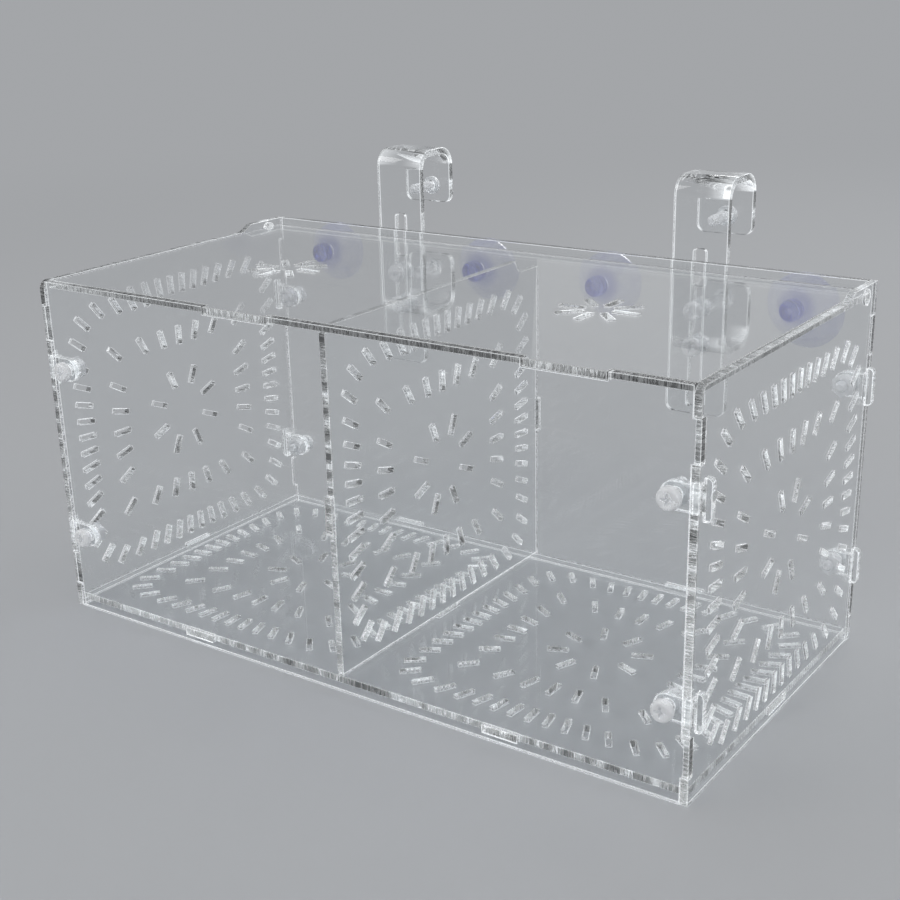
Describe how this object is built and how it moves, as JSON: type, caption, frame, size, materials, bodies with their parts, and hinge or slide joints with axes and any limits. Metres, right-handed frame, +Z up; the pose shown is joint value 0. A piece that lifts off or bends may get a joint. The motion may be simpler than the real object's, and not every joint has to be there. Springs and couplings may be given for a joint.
{
  "type": "fish breeding box",
  "caption": "Clear slotted breeding box for fish with a divider, a hinged lid, adjustable hooks with clamp screws for the tank's rim, and suction cups.",
  "frame": {"origin": "middle of the whole object's width and depth, level with the box's lower edges", "axes": "+X to the right along the box, +Y from the front panel to the hooks at the back, +Z up"},
  "size_m": [0.204, 0.1214, 0.1237],
  "materials": {
    "clear_sheet": "clear cast sheet with polished faces and bright cut edges",
    "clear_hardware": "frosted clear moulded plastic",
    "cup_rubber": "soft clear rubber with a blue violet tint"
  },
  "bodies": {
    "box": {"back_panel": "clear_sheet", "bottom_panel": "clear_sheet", "divider": "clear_sheet", "front_panel": "clear_sheet", "hook_nut_left_lower": "clear_hardware", "hook_nut_left_upper": "clear_hardware", "hook_nut_right_lower": "clear_hardware", "hook_nut_right_upper": "clear_hardware", "hook_screw_left_lower": "clear_hardware", "hook_screw_left_upper": "clear_hardware", "hook_screw_right_lower": "clear_hardware", "hook_screw_right_upper": "clear_hardware", "key_front_left_lower": "clear_sheet", "key_front_left_upper": "clear_sheet", "key_front_right_lower": "clear_sheet", "key_front_right_upper": "clear_sheet", "key_nut_front_left_lower": "clear_hardware", "key_nut_front_left_upper": "clear_hardware", "key_nut_front_right_lower": "clear_hardware", "key_nut_front_right_upper": "clear_hardware", "key_nut_rear_left_lower": "clear_hardware", "key_nut_rear_left_upper": "clear_hardware", "key_nut_rear_right_lower": "clear_hardware", "key_nut_rear_right_upper": "clear_hardware", "key_rear_left_lower": "clear_sheet", "key_rear_left_upper": "clear_sheet", "key_rear_right_lower": "clear_sheet", "key_rear_right_upper": "clear_sheet", "key_screw_front_left_lower": "clear_hardware", "key_screw_front_left_upper": "clear_hardware", "key_screw_front_right_lower": "clear_hardware", "key_screw_front_right_upper": "clear_hardware", "key_screw_rear_left_lower": "clear_hardware", "key_screw_rear_left_upper": "clear_hardware", "key_screw_rear_right_lower": "clear_hardware", "key_screw_rear_right_upper": "clear_hardware", "left_panel": "clear_sheet", "right_panel": "clear_sheet", "suction_cup_1": "cup_rubber", "suction_cup_2": "cup_rubber", "suction_cup_3": "cup_rubber", "suction_cup_4": "cup_rubber"},
    "lid": {"lid": "clear_sheet"},
    "hook_left": {"hook_left": "clear_sheet"},
    "hook_right": {"hook_right": "clear_sheet"},
    "clamp_screw_left": {"clamp_screw_left": "clear_hardware"},
    "clamp_screw_right": {"clamp_screw_right": "clear_hardware"}
  },
  "joints": [
    {"name": "lid_hinge", "type": "hinge", "parent": "box", "child": "lid", "pos_m": [0, 0.03427, 0.097], "axis": [-1, 0, 0], "range_deg": [0, 95]},
    {"name": "hook_left_slide", "type": "slide", "parent": "box", "child": "hook_left", "axis": [0, 0, 1], "range_m": [-0.0179, 0.0127]},
    {"name": "hook_right_slide", "type": "slide", "parent": "box", "child": "hook_right", "axis": [0, 0, 1], "range_m": [-0.0165, 0.0141]},
    {"name": "clamp_left_slide", "type": "slide", "parent": "hook_left", "child": "clamp_screw_left", "axis": [0, 1, 0], "range_m": [0, 0.0078]},
    {"name": "clamp_right_slide", "type": "slide", "parent": "hook_right", "child": "clamp_screw_right", "axis": [0, 1, 0], "range_m": [0, 0.0078]}
  ]
}
